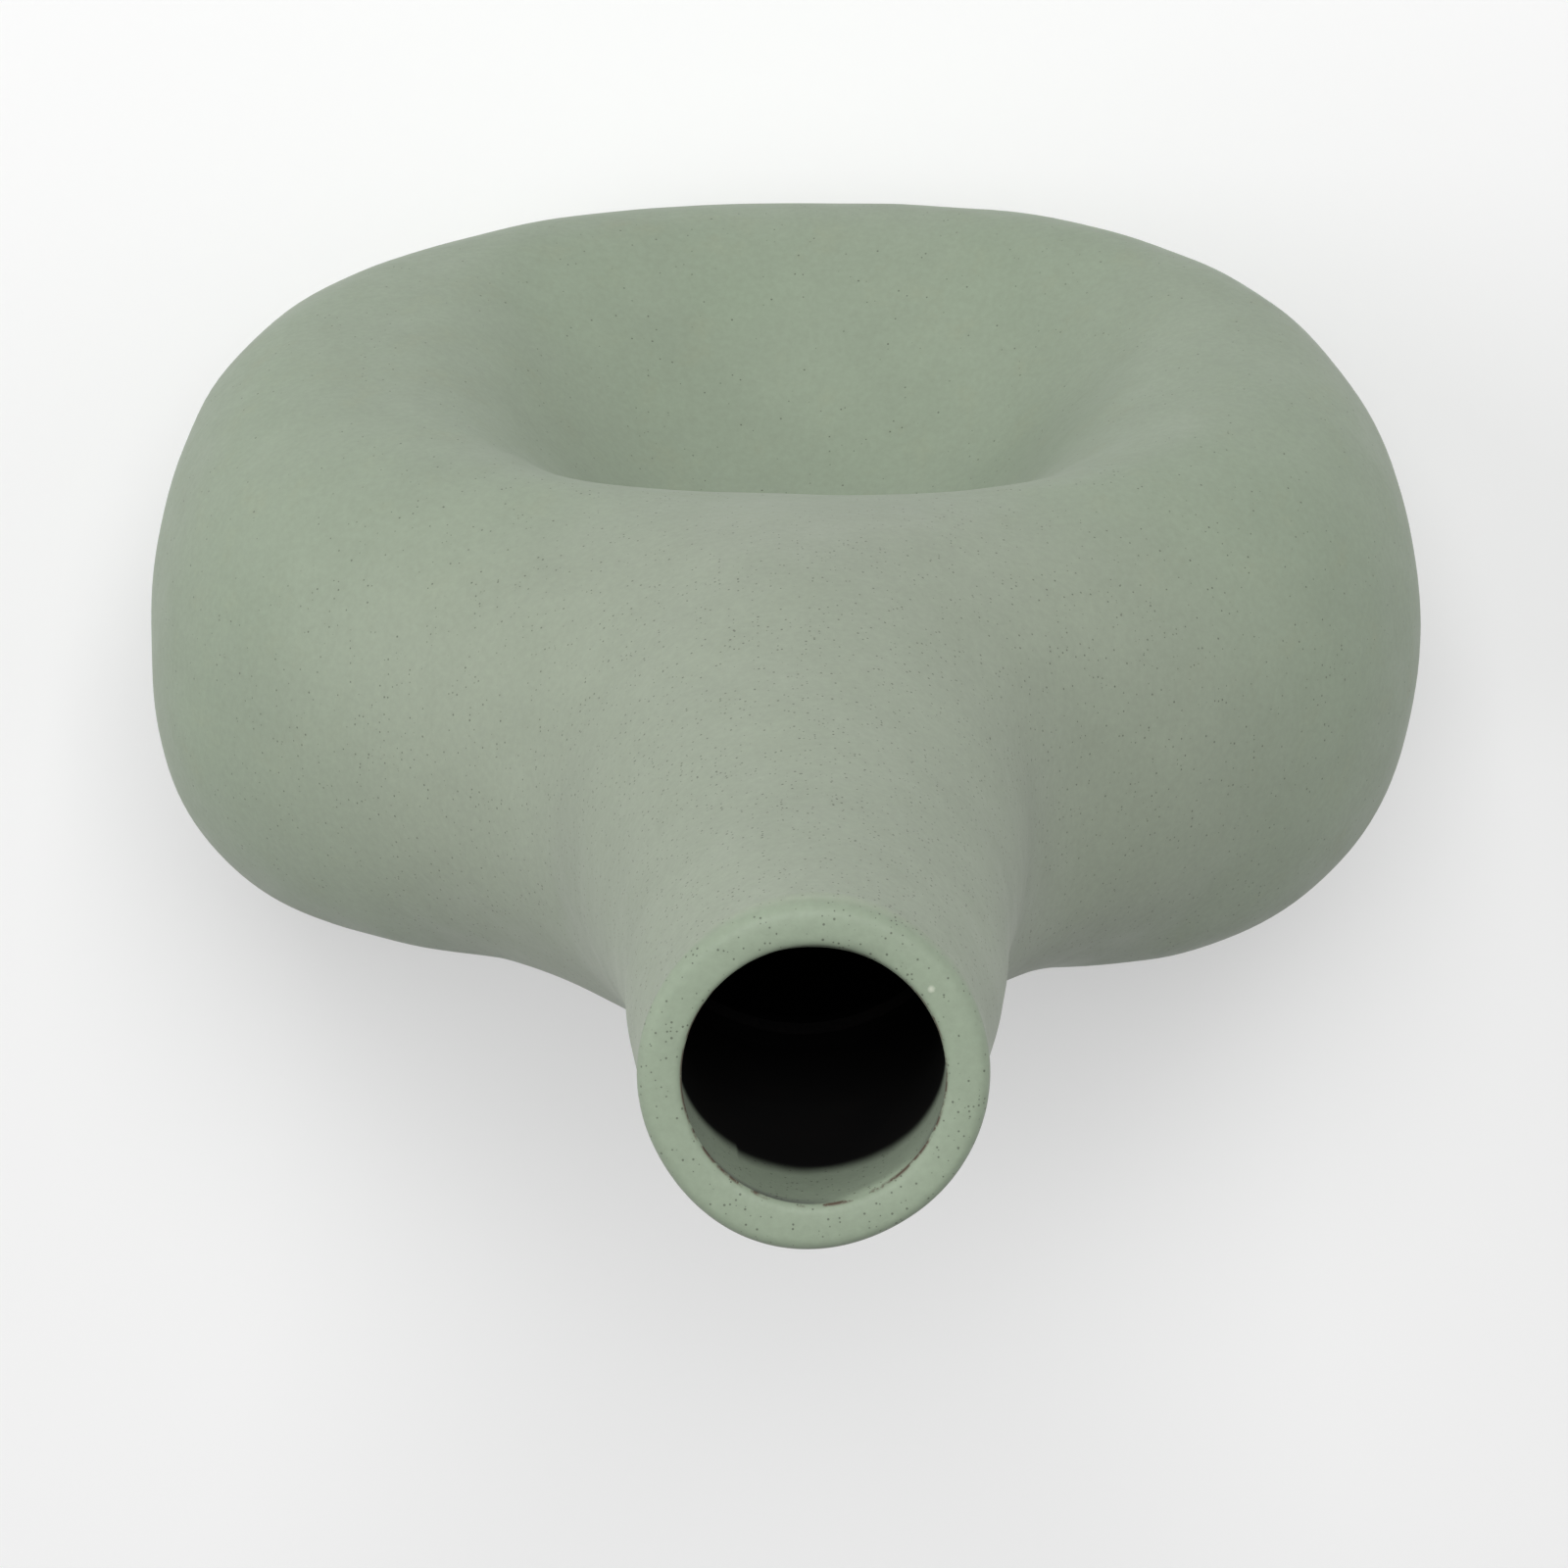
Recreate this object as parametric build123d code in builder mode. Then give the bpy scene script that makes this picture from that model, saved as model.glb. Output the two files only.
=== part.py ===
"""Pillow vase: a hand-built stoneware flower vase.

A puffed oval body stands on edge on a flat oval slab. It is deeply dimpled at front and back, and a
tapering neck with a slanted mouth rises from its shoulder. The vessel is luted together from a base
slab, two pressed half shells and a thrown neck, with coils of clay pressed over the joints inside.

Millimetres. +Z is up, the table is Z = 0, the front dimple faces -Y and the neck stands on the Z axis.
"""

import os
from math import asin, cos, pi, radians, sin, tan

from build123d import *

# Body, seen from the front
BODY_WIDTH = 230.0  # across both cheeks
BELLY_DROP = 104.0  # from the widest place down to where the curve would close
FOOT_CUT = 10.0  # how much of that curve the flat foot cuts off
SHOULDER_RISE = 97.0  # from the widest place up to the top of the shoulder
OUTLINE_POWER = 2.1  # 2 is an ellipse, more is squarer

# Body, seen from the side
LOWER_DEPTH = 120.0  # front to back over the lower cushion
UPPER_DEPTH = 84.0  # front to back over the upper cushion
CREST_WIDTH = 160.0  # between the highest places of the cushion, left to right
EDGE_POWER = 2.2  # roundness of the outer edge, as for the outline
LEAST_GAP = 2.0  # the two inner skins never come closer than this

# Dimples, alike in front and at the rear
DIMPLE_WIDTH = 146.0  # left to right over the rim, in the upper half
DIMPLE_SPREAD = 0.15  # how much wider the dimple is at its lower rim, as a share
DIMPLE_SHIFT = 3.5  # how far the dimple lies towards -X
DIMPLE_RISE = 69.5  # from the widest place of the body up to the rim
DIMPLE_DROP = 72.0  # from the widest place of the body down to the rim
DIMPLE_OUTLINE = 2.8  # squareness of the upper rim, as for the outline
DIMPLE_GAP = 22.0  # between the floors of the front and the rear dimple
DIMPLE_POWER = 1.25  # 1 is a plain wave, more has a wider floor

# Neck and mouth
OVERALL_HEIGHT = 322.0  # to the highest place of the lip, at the rear
MOUTH_DIAMETER = 51.0
MOUTH_SLANT = 7.0  # degrees, the lip dips towards the front
NECK_ROOT_DIAMETER = 70.0
NECK_RISE = 44.0  # from the top of the shoulder to the joint of the neck
FLARE_START = 0.665  # where the shoulder leaves its oval for the neck, as a share of its rise
FLARE_RISE = 27.0  # from the top of the shoulder to where it has run into the neck
LIP_ROUND = 2.8  # outer edge of the lip
BORE_ROUND = 1.0  # inner edge of the lip

# Clay
WALL = 6.5
SLAB_THICKNESS = 8.0
FOOT_ROUND = 3.0
SPIGOT_LENGTH = 7.0
SPIGOT_WALL = 3.0
SLIP_GAP = 0.3  # the film of slip round the spigot and behind the coils
COIL_WIDTH = 9.0
COIL_THICKNESS = 3.0

# Fineness of the lofts
BODY_STATIONS = 20
FLARE_STATIONS = 9
COIL_STATIONS = 4
SECTION_STEPS = 36
SLOPE_STEP = 0.5  # over which the slope of the shoulder is taken

BELLY_HEIGHT = BELLY_DROP - FOOT_CUT  # height of the widest place above the table
SHOULDER_TOP = BELLY_HEIGHT + SHOULDER_RISE
FLARE_TOP = SHOULDER_TOP + FLARE_RISE
NECK_JOINT = SHOULDER_TOP + NECK_RISE
LOFT_TOP = NECK_JOINT + SPIGOT_LENGTH  # the walls are drawn past the joint and then cut off there
NECK_LENGTH = OVERALL_HEIGHT - NECK_JOINT
CREST_SHARE = CREST_WIDTH / BODY_WIDTH
CREST_RISE = CREST_SHARE * SHOULDER_RISE
CREST_DROP = CREST_SHARE * BELLY_DROP
SEAT_RADIUS = NECK_ROOT_DIAMETER / 2 - WALL + SPIGOT_WALL
SPIGOT_END = NECK_JOINT - SPIGOT_LENGTH
NECK_COIL_LOW = SPIGOT_END - COIL_WIDTH
BASE_COIL_TOP = SLAB_THICKNESS + COIL_WIDTH
COIL_OUTER = WALL + SLIP_GAP  # how far the coils' faces lie inside the outer skin
COIL_INNER = COIL_OUTER + COIL_THICKNESS


def neck_radius(height):
    """Outside radius of the neck: a parabola, straight up at the mouth and wider below."""
    down = (OVERALL_HEIGHT - height) / NECK_LENGTH
    return MOUTH_DIAMETER / 2 + (NECK_ROOT_DIAMETER - MOUTH_DIAMETER) / 2 * down**2


def reach(height, inset):
    """From the widest place of the body to its end on this side, up or down."""
    return (SHOULDER_RISE if height > BELLY_HEIGHT else BELLY_DROP) - inset


def half_width(height, inset):
    """Half the width of the bare body, without its neck, drawn in by the inset."""
    rise = abs(height - BELLY_HEIGHT) / reach(height, inset)
    if rise >= 1:
        return 0.0
    return (BODY_WIDTH / 2 - inset) * (1 - rise**OUTLINE_POWER) ** (1 / OUTLINE_POWER)


def crest_half_depth(height):
    """Half the depth over the crest of the cushion, thinning steadily from the lower crest to the upper."""
    share = (height - BELLY_HEIGHT + CREST_DROP) / (CREST_DROP + CREST_RISE)
    return (LOWER_DEPTH + (UPPER_DEPTH - LOWER_DEPTH) * share) / 2


def pressed_in(across, height):
    """How far the dimple is pressed in at a place of the front: 0 at its rim, 1 in the middle."""
    above = (height - BELLY_HEIGHT) / DIMPLE_RISE
    below = max(BELLY_HEIGHT - height, 0.0) / DIMPLE_DROP
    power = DIMPLE_OUTLINE if above > 0 else OUTLINE_POWER
    share = min(below, 1.0)
    half = DIMPLE_WIDTH / 2 * (1 + DIMPLE_SPREAD * share**2 * (3 - 2 * share))
    aside = abs(across + DIMPLE_SHIFT) / half
    place = min((aside**power + max(above, below) ** power) ** (1 / power), 1.0)
    return cos(pi / 2 * place**DIMPLE_POWER) ** 2


def half_depth(across, height, inset):
    """Half the depth of the bare body at a place of its front outline, drawn in by the inset."""
    side = BODY_WIDTH / 2 - inset
    rise = abs(height - BELLY_HEIGHT) / reach(height, inset)
    place = ((abs(across) / side) ** OUTLINE_POWER + rise**OUTLINE_POWER) ** (1 / OUTLINE_POWER)
    crest = CREST_WIDTH / 2 / side
    out = min(max((place - crest) / (1 - crest), 0.0), 1.0)
    cushion = (crest_half_depth(height) - inset) * (1 - out**EDGE_POWER) ** (1 / EDGE_POWER)
    floor = max(DIMPLE_GAP / 2 - inset, LEAST_GAP / 2)
    return cushion - (cushion - floor) * pressed_in(across, height)


def flare_height(inset):
    """Where the shoulder leaves its oval for the neck."""
    return BELLY_HEIGHT + FLARE_START * (SHOULDER_RISE - inset)


def turns():
    """Directions of the points of a slice, once round from just in front of the +X cheek."""
    return [-2 * pi * (step + 0.5) / SECTION_STEPS for step in range(SECTION_STEPS)]


def body_ring(height, inset):
    """Points of one level slice of the bare body."""
    side = half_width(height, inset)
    points = []
    for turn in turns():
        depth = half_depth(side * cos(turn), height, inset)
        points.append(Vector(side * cos(turn), depth if sin(turn) > 0 else -depth))
    return points


def neck_ring(height, inset):
    """Points of one level slice of the neck."""
    radius = neck_radius(height) - inset
    return [Vector(radius * cos(turn), radius * sin(turn)) for turn in turns()]


def overhang(height, inset):
    """How far one level slice of the bare body stands out beyond the neck."""
    return [body - neck for body, neck in zip(body_ring(height, inset), neck_ring(height, inset))]


def flare_ring(height, inset):
    """Points of one level slice of the flare, which takes up the slopes of the shoulder and the neck."""
    start = flare_height(inset)
    rise = FLARE_TOP - start
    share = min((height - start) / rise, 1.0)
    kept = (1 - share) ** 2 * (1 + 2 * share)
    lean = (1 - share) ** 2 * share * rise / SLOPE_STEP
    here = overhang(start, inset)
    below = overhang(start - SLOPE_STEP, inset)
    points = []
    for neck, out, out_below in zip(neck_ring(height, inset), here, below):
        points.append(neck + out * kept + (out - out_below) * lean)
    return points


def slices(inset, low):
    """Heights and points of the slices, from a low level up past the neck joint."""
    first = asin((low - BELLY_HEIGHT) / BELLY_DROP)
    last = asin(FLARE_START)
    rings = [(low, body_ring(low, inset))]
    for step in range(1, BODY_STATIONS + 1):
        rise = sin(first + (last - first) * step / BODY_STATIONS)
        height = BELLY_HEIGHT + rise * (SHOULDER_RISE - inset if rise > 0 else BELLY_DROP)
        rings.append((height, body_ring(height, inset)))
    start = flare_height(inset)
    for step in range(1, FLARE_STATIONS + 1):
        height = start + (NECK_JOINT - start) * step / FLARE_STATIONS
        rings.append((height, flare_ring(height, inset)))
    return rings + [(LOFT_TOP, flare_ring(LOFT_TOP, inset))]


def coil_slices(inset, low, high):
    """Heights and points of a few slices, evenly spaced between two levels."""
    rings = []
    for step in range(COIL_STATIONS + 1):
        height = low + (high - low) * step / COIL_STATIONS
        ring = body_ring if height < flare_height(inset) else flare_ring
        rings.append((height, ring(height, inset)))
    return rings


def lofted(rings):
    """A solid through level slices."""
    with BuildPart() as solid:
        for height, ring in rings:
            with BuildSketch(Plane.XY.offset(height)):
                with BuildLine():
                    add(Edge.make_spline(ring, periodic=True, parameters=range(SECTION_STEPS + 1)))
                make_face()
        loft()
    return solid.part


outside = lofted(slices(0, 0))
inside = lofted(slices(WALL, SLAB_THICKNESS / 2))
coil_outside = lofted(slices(COIL_OUTER, SLAB_THICKNESS / 2))
coil_inside = lofted(slices(COIL_INNER, SLAB_THICKNESS / 2))

os.makedirs("parts", exist_ok=True)

# Flat oval slab that the walls stand on
with BuildPart() as base_slab:
    add(outside)
    split(bisect_by=Plane.XY.offset(SLAB_THICKNESS), keep=Keep.BOTTOM)
    foot = base_slab.faces().sort_by(Axis.Z)[0]
    fillet(foot.edges(), radius=FOOT_ROUND)


def half_shell(side):
    """One pressed half of the wall, from the slab to the collar that takes the neck's spigot."""
    with BuildPart() as shell:
        add(outside)
        add(inside, mode=Mode.SUBTRACT)
        split(bisect_by=Plane.XY.offset(SLAB_THICKNESS), keep=Keep.TOP)
        split(bisect_by=Plane.XY.offset(NECK_JOINT), keep=Keep.BOTTOM)
        split(bisect_by=Plane.XZ, keep=side)
        with Locations((0, 0, SPIGOT_END + SPIGOT_LENGTH / 2)):
            Cylinder(SEAT_RADIUS, SPIGOT_LENGTH, mode=Mode.SUBTRACT)
    return shell.part


# Pressed half shells, butted on the plane between front and rear
with BuildPart() as front_shell:
    add(half_shell(Keep.TOP))

with BuildPart() as rear_shell:
    add(half_shell(Keep.BOTTOM))

# Thrown neck with a spigot that drops into the collar of the shells
with BuildPart() as neck:
    with BuildSketch(Plane.XZ):
        with BuildLine():
            root = NECK_ROOT_DIAMETER / 2
            mouth = MOUTH_DIAMETER / 2
            middle = (NECK_JOINT + OVERALL_HEIGHT) / 2
            Bezier((root, NECK_JOINT), (mouth, middle), (mouth, OVERALL_HEIGHT))
            Line((mouth, OVERALL_HEIGHT), (mouth - WALL, OVERALL_HEIGHT))
            Bezier((mouth - WALL, OVERALL_HEIGHT), (mouth - WALL, middle), (root - WALL, NECK_JOINT))
            Polyline(
                (root - WALL, NECK_JOINT),
                (root - WALL, SPIGOT_END + SLIP_GAP),
                (SEAT_RADIUS - SLIP_GAP, SPIGOT_END + SLIP_GAP),
                (SEAT_RADIUS - SLIP_GAP, NECK_JOINT),
                (root, NECK_JOINT),
            )
        make_face()
    revolve(axis=Axis.Z)
    slant = radians(MOUTH_SLANT)
    lip_height = OVERALL_HEIGHT - mouth * tan(slant)
    split(bisect_by=Plane((0, 0, lip_height), z_dir=(0, -sin(slant), cos(slant))), keep=Keep.BOTTOM)
    lip = neck.faces().sort_by(Axis.Z)[-1]
    outer_edge = lip.outer_wire().edges()
    inner_edge = lip.inner_wires().edges()
    fillet(outer_edge, radius=LIP_ROUND)
    fillet(inner_edge, radius=BORE_ROUND)


def joint_coil(low, high):
    """A flattened coil that lines the inner wall all round, between two levels."""
    with BuildPart() as band:
        add(lofted(coil_slices(COIL_OUTER, low, high)))
        hollow = lofted(coil_slices(COIL_INNER, low - COIL_THICKNESS, high + COIL_THICKNESS))
        add(hollow, mode=Mode.SUBTRACT)
    return band.part


def seam_coil(side):
    """The coil over the butt joint of the shells at one cheek."""
    with BuildPart() as coil:
        add(coil_outside)
        split(bisect_by=Plane.XY.offset(BASE_COIL_TOP), keep=Keep.TOP)
        split(bisect_by=Plane.XY.offset(NECK_COIL_LOW), keep=Keep.BOTTOM)
        add(coil_inside, mode=Mode.SUBTRACT)
        split(bisect_by=Plane.XZ.offset(COIL_WIDTH / 2), keep=Keep.BOTTOM)
        split(bisect_by=Plane.XZ.offset(-COIL_WIDTH / 2), keep=Keep.TOP)
        split(bisect_by=Plane.YZ, keep=side)
        with Locations((0, 0, BELLY_HEIGHT)):
            Cylinder(CREST_WIDTH / 2, 2 * COIL_WIDTH, rotation=(90, 0, 0), mode=Mode.SUBTRACT)
    return coil.part


# Coils of clay pressed over the joints inside
with BuildPart() as base_coil:
    add(joint_coil(SLAB_THICKNESS, BASE_COIL_TOP))

with BuildPart() as neck_coil:
    add(joint_coil(NECK_COIL_LOW, SPIGOT_END))

with BuildPart() as seam_coil_right:
    add(seam_coil(Keep.TOP))

with BuildPart() as seam_coil_left:
    add(seam_coil(Keep.BOTTOM))

base_slab.part.label = "base_slab"
export_step(base_slab.part, "parts/base_slab.step")
front_shell.part.label = "front_shell"
export_step(front_shell.part, "parts/front_shell.step")
rear_shell.part.label = "rear_shell"
export_step(rear_shell.part, "parts/rear_shell.step")
neck.part.label = "neck"
export_step(neck.part, "parts/neck.step")
base_coil.part.label = "base_coil"
export_step(base_coil.part, "parts/base_coil.step")
neck_coil.part.label = "neck_coil"
export_step(neck_coil.part, "parts/neck_coil.step")
seam_coil_right.part.label = "seam_coil_right"
export_step(seam_coil_right.part, "parts/seam_coil_right.step")
seam_coil_left.part.label = "seam_coil_left"
export_step(seam_coil_left.part, "parts/seam_coil_left.step")
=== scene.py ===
"""Looks of a hand-built pillow vase: a puffed, dimpled stoneware body with a neck, in speckled sage glaze.

The file is laid out as an add-on. Sizes and colours are properties, each piece or group of like pieces has
an operator, and main runs the operators in order. Metres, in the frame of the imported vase: +Z runs up the
neck, the front dimple faces -Y and the table is Z = 0.
"""

import math

import bpy
import numpy as np
from bpy.props import FloatProperty, FloatVectorProperty, PointerProperty
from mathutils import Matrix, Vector, noise


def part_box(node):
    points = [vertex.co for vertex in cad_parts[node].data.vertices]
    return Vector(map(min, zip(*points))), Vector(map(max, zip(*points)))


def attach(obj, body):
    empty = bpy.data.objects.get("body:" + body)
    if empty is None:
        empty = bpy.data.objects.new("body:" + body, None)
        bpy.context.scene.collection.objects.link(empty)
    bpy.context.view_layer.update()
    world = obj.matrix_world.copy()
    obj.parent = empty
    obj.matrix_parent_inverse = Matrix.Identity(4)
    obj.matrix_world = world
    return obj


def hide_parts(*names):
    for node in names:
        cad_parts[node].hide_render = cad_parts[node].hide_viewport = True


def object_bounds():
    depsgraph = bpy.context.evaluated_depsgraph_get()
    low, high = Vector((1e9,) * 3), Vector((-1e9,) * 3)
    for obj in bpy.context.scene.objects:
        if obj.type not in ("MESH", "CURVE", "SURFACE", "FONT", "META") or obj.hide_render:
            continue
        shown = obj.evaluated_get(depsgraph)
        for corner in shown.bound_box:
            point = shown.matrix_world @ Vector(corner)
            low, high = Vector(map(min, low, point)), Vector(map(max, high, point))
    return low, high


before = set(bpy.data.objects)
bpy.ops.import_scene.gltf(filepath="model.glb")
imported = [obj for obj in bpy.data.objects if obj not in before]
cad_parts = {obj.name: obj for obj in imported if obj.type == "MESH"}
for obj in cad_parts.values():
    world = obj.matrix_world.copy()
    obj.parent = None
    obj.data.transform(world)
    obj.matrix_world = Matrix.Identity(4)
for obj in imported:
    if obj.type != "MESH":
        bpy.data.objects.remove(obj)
CAD_LOW, CAD_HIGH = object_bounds()

bl_info = {
    "name": "Pillow vase",
    "version": (1, 0, 0),
    "blender": (4, 5, 0),
    "location": "3D View > Sidebar > Vase",
    "description": "Dresses the packed pillow vase in its modelled walls, glaze, light and camera",
    "category": "Object",
}

MM = 0.001

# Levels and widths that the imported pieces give
SHELL_LOW, SHELL_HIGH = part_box("front_shell")
NECK_LOW, NECK_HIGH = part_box("neck")
SLAB_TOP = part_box("base_slab")[1].z
NECK_JOINT = SHELL_HIGH.z
SPIGOT_END = NECK_LOW.z

# Fineness of the modelled walls
COLUMNS = 256
BODY_ROWS = 90
FLARE_ROWS = 44
NECK_ROWS = 40
LIP_ROWS = 24
LIP_ROWS_IN_BORE = 3
BORE_ROWS = 40

# Rings of the foot: flat ones as shares of its outline, then those up its side as shares of the slab's height
FLAT_PARTS = (0.0, 0.25, 0.5, 0.75, 0.93, 0.985)
SIDE_PARTS = (0.05, 0.15, 0.3, 0.5, 0.75)

# Rings on top of the slab, as shares of its outline
TOP_PARTS = (0.75, 0.5, 0.25, 0.0)

# Step over which the slope of the shoulder is taken
SLOPE_STEP = 0.5 * MM

# Points closer than this are one point
MERGED = 0.001 * MM

# Least length that a normal is divided by
TINY = 1e-12

# Hand marks fade in between these heights, so that the foot stays flat
MARKS_FROM = 0.2 * SLAB_TOP
MARKS_FULL = 3 * SLAB_TOP

# How far down the bore the unseen inside counts as lying, in millimetres from the lip
DEEP_INSIDE = 200.0

# Single pushes of the potter's hands that set the vase off from its even form: the direction round the vase
# and its spread in degrees, then the height, its spread and how far the clay moved out, in millimetres
HAND_PUSHES = (
    (178, 50, 204, 28, -3.4),  # fold between neck and shoulder on the -X side
    (178, 50, 226, 16, -0.9),  # its upper end, where the collar is thin
    (181, 55, 280, 36, 1.7),  # fuller neck above that fold
    (0, 50, 299, 22, 0.6),  # fuller neck on the +X side
    (75, 50, 320, 24, 0.8),  # lip drawn out at the rear
    (128, 45, 146, 46, 2.8),  # rear of the shoulder, towards -X
    (70, 35, 185, 35, 1.0),  # rear of the shoulder, by the neck
    (5, 60, 115, 70, 0.9),  # fuller +X cheek
    (180, 45, 110, 60, -0.6),  # flatter -X cheek
    (329, 35, 65, 45, 1.4),  # front of the lower cushion, towards +X
    (270, 90, 45, 45, 0.8),  # front of the lower cushion, all along
    (232, 35, 50, 45, 0.8),  # front of the lower cushion, towards -X
    (243, 14, 108, 35, 2.5),  # gentler -X end of the front dimple
)

# Where the chip in the lip lies; a pale dot painted there stands for the light on its dent, which is not
# modelled
CHIP = (-16.8 * MM, -13.0 * MM, 317.8 * MM)

# Sizes of the patterns in the glaze, in millimetres
DRIFT = 55.0
CLOUD = 25.0
POUR = 12.0
CURD = 9.0
PEEL = 3.2
WEAR = 3.0
GRAIN = 1.2
SPECK_CELL = 0.75

# Sizes of the patterns in the clay, in millimetres
FLASH = 18.0
DENT = 11.0
CLAY_GRIT = 0.8

# Glaze turns thin between the first two heights, and specks turn common between the others
THIN_FROM, THIN_FULL = 140 * MM, 190 * MM
SPECKS_FROM, SPECKS_FULL = 130 * MM, 250 * MM

# Sockets of a colour Mix node, which share their names with those for numbers
MIX_A, MIX_B, MIX_OUT = 6, 7, 2


def linear(hex_colour):
    """An sRGB hex colour as linear red, green and blue."""
    levels = [int(hex_colour[place : place + 2], 16) / 255 for place in (1, 3, 5)]
    return [level / 12.92 if level <= 0.04045 else ((level + 0.055) / 1.055) ** 2.4 for level in levels]


def length(name, description, millimetres):
    """A size that a user may change, written in millimetres."""
    return FloatProperty(name=name, description=description, default=millimetres * MM, unit="LENGTH", min=0.0)


def share(name, description, default):
    """A plain number that a user may change."""
    return FloatProperty(name=name, description=description, default=default, min=0.0)


def colour(name, description, hex_colour):
    """A colour that a user may change, written in sRGB hex."""
    return FloatVectorProperty(
        name=name, description=description, default=linear(hex_colour), subtype="COLOR", min=0.0, max=1.0
    )


def lamp_power(name, description, watts):
    """The strength of a lamp that a user may change."""
    return FloatProperty(name=name, description=description, default=watts, unit="POWER", min=0.0)


def lamp_direction(name, description, towards):
    """A direction that a user may change."""
    return FloatVectorProperty(name=name, description=description, default=towards, subtype="DIRECTION")


class VaseShape(bpy.types.PropertyGroup):
    """Sizes of the wall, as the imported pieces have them, and of the marks that hands leave in it."""

    body_width: length("Body width", "Across both cheeks", (SHELL_HIGH.x - SHELL_LOW.x) / MM)
    belly_height: length("Belly height", "Height of the widest place", 94.0)
    belly_drop: length("Belly drop", "From the widest place down to where the curve would close", 104.0)
    shoulder_rise: length("Shoulder rise", "From the widest place up to the top of the shoulder", 97.0)
    outline_power: share("Outline power", "2 is an ellipse, more is squarer", 2.1)
    lower_depth: length("Lower depth", "Front to back over the lower cushion", 120.0)
    upper_depth: length("Upper depth", "Front to back over the upper cushion", 84.0)
    crest_width: length("Crest width", "Between the highest places of the cushion, left to right", 160.0)
    edge_power: share("Edge power", "Roundness of the outer edge, as for the outline", 2.2)
    dimple_width: length("Dimple width", "Left to right over the rim of the dimple, in its upper half", 146.0)
    dimple_spread: share("Dimple spread", "How much wider the dimple is at its lower rim, as a share", 0.15)
    dimple_shift: length("Dimple shift", "How far the dimple lies towards -X", 3.5)
    dimple_rise: length("Dimple rise", "From the widest place of the body up to the dimple's rim", 69.5)
    dimple_drop: length("Dimple drop", "From the widest place of the body down to the dimple's rim", 72.0)
    dimple_outline: share("Dimple outline", "As for the body's outline, but for the dimple's upper rim", 2.8)
    dimple_gap: length("Dimple gap", "Between the floors of the two dimples", 22.0)
    dimple_power: share("Dimple power", "1 is a plain wave, more has a wider floor", 1.25)
    least_gap: length("Least gap", "The two inner skins never come closer than this", 2.0)
    overall_height: length(
        "Overall height", "To the highest place of the lip, before its edge is rounded", 322.0
    )
    mouth_diameter: length("Mouth diameter", "Outside the lip", 51.0)
    mouth_slant: FloatProperty(
        name="Mouth slant",
        description="The lip dips towards the front",
        default=math.radians(7.0),
        subtype="ANGLE",
    )
    neck_root_diameter: length(
        "Neck root diameter", "At the joint of the neck", (NECK_HIGH.x - NECK_LOW.x) / MM
    )
    flare_start: share("Flare start", "Where the shoulder leaves its oval, as a share of its rise", 0.665)
    flare_rise: length("Flare rise", "From the shoulder's top to where it has run into the neck", 27.0)
    wall: length("Wall", "Thickness of the clay", 6.5)
    lip_round: length("Lip round", "Outer edge of the lip", 1.8)
    bore_round: length("Bore round", "Inner edge of the lip", 1.0)
    lip_dome: length("Lip dome", "How far the lip bulges between its edges", 0.4)
    spigot_wall: length("Spigot wall", "Thickness of the neck's spigot", 3.0)
    slip_gap: length("Slip gap", "Film of slip round the spigot", 0.3)
    palm_mark: length("Palm mark", "Height of the broad marks left by pressing the clay", 0.9)
    palm_width: length("Palm width", "Size of those marks", 48.0)
    finger_mark: length("Finger mark", "Height of the small marks left by fingers", 0.28)
    finger_width: length("Finger width", "Size of those marks", 15.0)


class VaseGlaze(bpy.types.PropertyGroup):
    """Colours of the glaze and the clay, and of the painted shade and the painted highlight."""

    sage: colour("Sage", "Main colour of the glaze", "#8A9683")
    moss: colour("Moss", "Where the glaze lies thicker and greener", "#889581")
    ash: colour("Ash", "Where the glaze lies thin and greyer", "#8E9786")
    straw: colour("Straw", "Faint warm patches", "#909882")
    speck: colour("Speck", "Iron specks that come up through the glaze", "#4C5144")
    worn: colour("Worn edge", "Bare clay where the glaze broke at the bore's edge", "#54463A")
    # Painted shade: near black for the inside of the bore, where shade falls deep down
    bore_shade: colour("Liner", "Dark sealing glaze inside", "#08090A")
    # Painted highlight: pale colour for the light on the chip's dent in the lip
    chip_highlight: colour("Fleck", "Pale body that a chip in the lip lays bare", "#C4C8B8")
    clay: colour("Clay", "Fired unglazed clay", "#52453B")
    clay_dark: colour("Dark clay", "Darker grains and flashes in the clay", "#3E332B")
    # Painted shade: a warmer near black, mixed into the bore's shade and given to the hidden coils
    bore_shade_warm: colour("Washed clay", "Clay under the thin dark wash inside", "#100E0D")


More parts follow.
